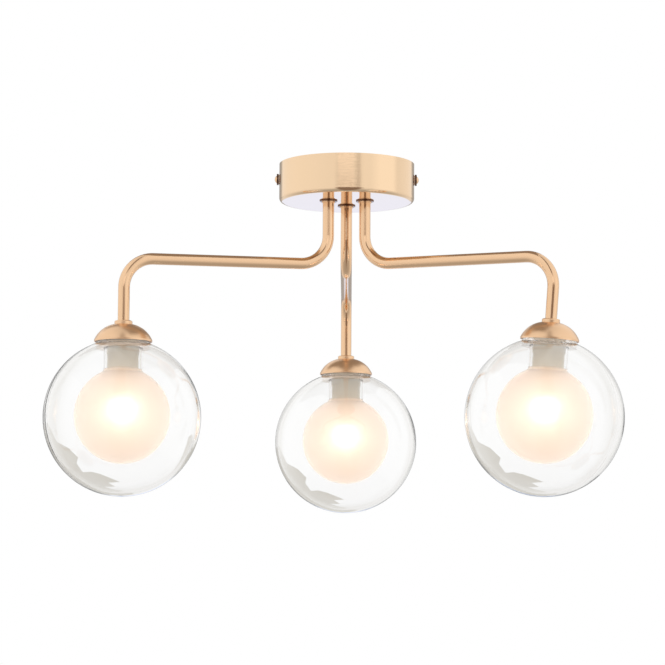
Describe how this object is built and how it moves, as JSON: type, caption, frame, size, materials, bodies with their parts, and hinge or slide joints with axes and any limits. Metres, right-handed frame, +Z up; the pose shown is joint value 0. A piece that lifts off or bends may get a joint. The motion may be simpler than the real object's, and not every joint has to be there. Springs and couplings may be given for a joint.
{
  "type": "semi flush ceiling light",
  "caption": "Semi flush ceiling light with a copper cup canopy, bent tube arms and clear globes over lit frosted inner globes.",
  "frame": {"origin": "where the canopy's axis meets the ceiling, at the centre of the two ceiling slots", "axes": "+Z up into the ceiling, +X along the two side screws, -Y towards the viewer of the picture"},
  "size_m": [0.4936, 0.4357, 0.3003],
  "materials": {
    "copper": "satin copper plate, polished on the canopy's underside",
    "zinc_steel": "zinc plated",
    "brass": "bright",
    "white_nylon": "matt",
    "black_rubber": "matt",
    "flex": "silicone sheath, matt",
    "carrier": "heat-resistant moulding, matt",
    "ceramic": "unglazed",
    "silicone": "translucent",
    "clear_glass": "clear, polished",
    "frosted_glass": "frosted ball, clear neck",
    "lamp_glass": "frosted",
    "pin_wire": "bright nickel"
  },
  "bodies": {
    "root": {"canopy_cup": "copper", "mounting_bracket": "zinc_steel", "cable_bush": "black_rubber", "terminal_block": "white_nylon", "terminal_bars": "brass", "block_screw": "zinc_steel", "earth_screw": "brass", "canopy_lead_left": "flex", "canopy_lead_right": "flex", "canopy_lead_rear": "flex"},
    "screw_travel_left": {"canopy_screw_washer_left": "white_nylon"},
    "side_screw_left": {"canopy_screw_left": "copper"},
    "screw_travel_right": {"canopy_screw_washer_right": "white_nylon"},
    "side_screw_right": {"canopy_screw_right": "copper"},
    "arm_left": {"arm_tube_left": "copper", "arm_collar_left": "copper", "lock_washer_left": "zinc_steel", "lock_nut_left": "zinc_steel", "arm_flex_left": "flex", "shade_cap_left": "copper", "ring_collar_left": "copper", "shade_carrier_left": "carrier", "lampholder_left": "ceramic", "lampholder_contacts_left": "brass"},
    "shade_travel_left": {"shade_gasket_left": "silicone"},
    "shade_left": {"outer_globe_left": "clear_glass", "inner_globe_left": "frosted_glass"},
    "lamp_left": {"lamp_capsule_left": "lamp_glass", "lamp_pins_left": "pin_wire"},
    "arm_right": {"arm_tube_right": "copper", "arm_collar_right": "copper", "lock_washer_right": "zinc_steel", "lock_nut_right": "zinc_steel", "arm_flex_right": "flex", "shade_cap_right": "copper", "ring_collar_right": "copper", "shade_carrier_right": "carrier", "lampholder_right": "ceramic", "lampholder_contacts_right": "brass"},
    "shade_travel_right": {"shade_gasket_right": "silicone"},
    "shade_right": {"outer_globe_right": "clear_glass", "inner_globe_right": "frosted_glass"},
    "lamp_right": {"lamp_capsule_right": "lamp_glass", "lamp_pins_right": "pin_wire"},
    "arm_rear": {"arm_tube_rear": "copper", "arm_collar_rear": "copper", "lock_washer_rear": "zinc_steel", "lock_nut_rear": "zinc_steel", "arm_flex_rear": "flex", "shade_cap_rear": "copper", "ring_collar_rear": "copper", "shade_carrier_rear": "carrier", "lampholder_rear": "ceramic", "lampholder_contacts_rear": "brass"},
    "shade_travel_rear": {"shade_gasket_rear": "silicone"},
    "shade_rear": {"outer_globe_rear": "clear_glass", "inner_globe_rear": "frosted_glass"},
    "lamp_rear": {"lamp_capsule_rear": "lamp_glass", "lamp_pins_rear": "pin_wire"}
  },
  "joints": [
    {"name": "side_screw_left_slide", "type": "slide", "parent": "root", "child": "screw_travel_left", "axis": [-1, 0, 0], "range_m": [0, 0.0028]},
    {"name": "side_screw_left_turn", "type": "hinge", "parent": "screw_travel_left", "child": "side_screw_left", "pos_m": [-0.06, 0, -0.0137], "axis": [-1, 0, 0], "range_deg": [0, 1450]},
    {"name": "side_screw_right_slide", "type": "slide", "parent": "root", "child": "screw_travel_right", "axis": [1, 0, 0], "range_m": [0, 0.0028]},
    {"name": "side_screw_right_turn", "type": "hinge", "parent": "screw_travel_right", "child": "side_screw_right", "pos_m": [0.06, 0, -0.0137], "axis": [1, 0, 0], "range_deg": [0, 1450]},
    {"name": "arm_left_swivel", "type": "hinge", "parent": "root", "child": "arm_left", "pos_m": [-0.01611, -0.0093, -0.034], "axis": [0, 0, 1], "range_deg": [-14.3, 35.7]},
    {"name": "shade_left_slide", "type": "slide", "parent": "arm_left", "child": "shade_travel_left", "axis": [0, 0, -1], "range_m": [0, 0.009]},
    {"name": "shade_left_turn", "type": "hinge", "parent": "shade_travel_left", "child": "shade_left", "pos_m": [-0.19118, -0.07061, -0.23281], "axis": [0, 0, -1], "range_deg": [0, 1090]},
    {"name": "lamp_left_pull", "type": "slide", "parent": "arm_left", "child": "lamp_left", "axis": [0, 0, -1], "range_m": [0, 0.014]},
    {"name": "arm_right_swivel", "type": "hinge", "parent": "root", "child": "arm_right", "pos_m": [0.01611, -0.0093, -0.034], "axis": [0, 0, 1], "range_deg": [-25, 25]},
    {"name": "shade_right_slide", "type": "slide", "parent": "arm_right", "child": "shade_travel_right", "axis": [-0.0679, 0.0392, -0.9969], "range_m": [0, 0.009]},
    {"name": "shade_right_turn", "type": "hinge", "parent": "shade_travel_right", "child": "shade_right", "pos_m": [0.16741, -0.09665, -0.23239], "axis": [-0.0679, 0.0392, -0.9969], "range_deg": [0, 1090]},
    {"name": "lamp_right_pull", "type": "slide", "parent": "arm_right", "child": "lamp_right", "axis": [-0.0679, 0.0392, -0.9969], "range_m": [0, 0.014]},
    {"name": "arm_rear_swivel", "type": "hinge", "parent": "root", "child": "arm_rear", "pos_m": [0, 0.0186, -0.034], "axis": [0, 0, 1], "range_deg": [-24.6, 25.4]},
    {"name": "shade_rear_slide", "type": "slide", "parent": "arm_rear", "child": "shade_travel_rear", "axis": [0, 0, -1], "range_m": [0, 0.009]},
    {"name": "shade_rear_turn", "type": "hinge", "parent": "shade_travel_rear", "child": "shade_rear", "pos_m": [0.00129, 0.20409, -0.23281], "axis": [0, 0, -1], "range_deg": [0, 1090]},
    {"name": "lamp_rear_pull", "type": "slide", "parent": "arm_rear", "child": "lamp_rear", "axis": [0, 0, -1], "range_m": [0, 0.014]}
  ],
  "couplings": [
    {"joint": "side_screw_left_turn", "follows": "side_screw_left_slide", "rad_per_m": 8976},
    {"joint": "side_screw_right_turn", "follows": "side_screw_right_slide", "rad_per_m": 8976},
    {"joint": "shade_left_turn", "follows": "shade_left_slide", "rad_per_m": 2094.4},
    {"joint": "shade_right_turn", "follows": "shade_right_slide", "rad_per_m": 2094.4},
    {"joint": "shade_rear_turn", "follows": "shade_rear_slide", "rad_per_m": 2094.4}
  ]
}
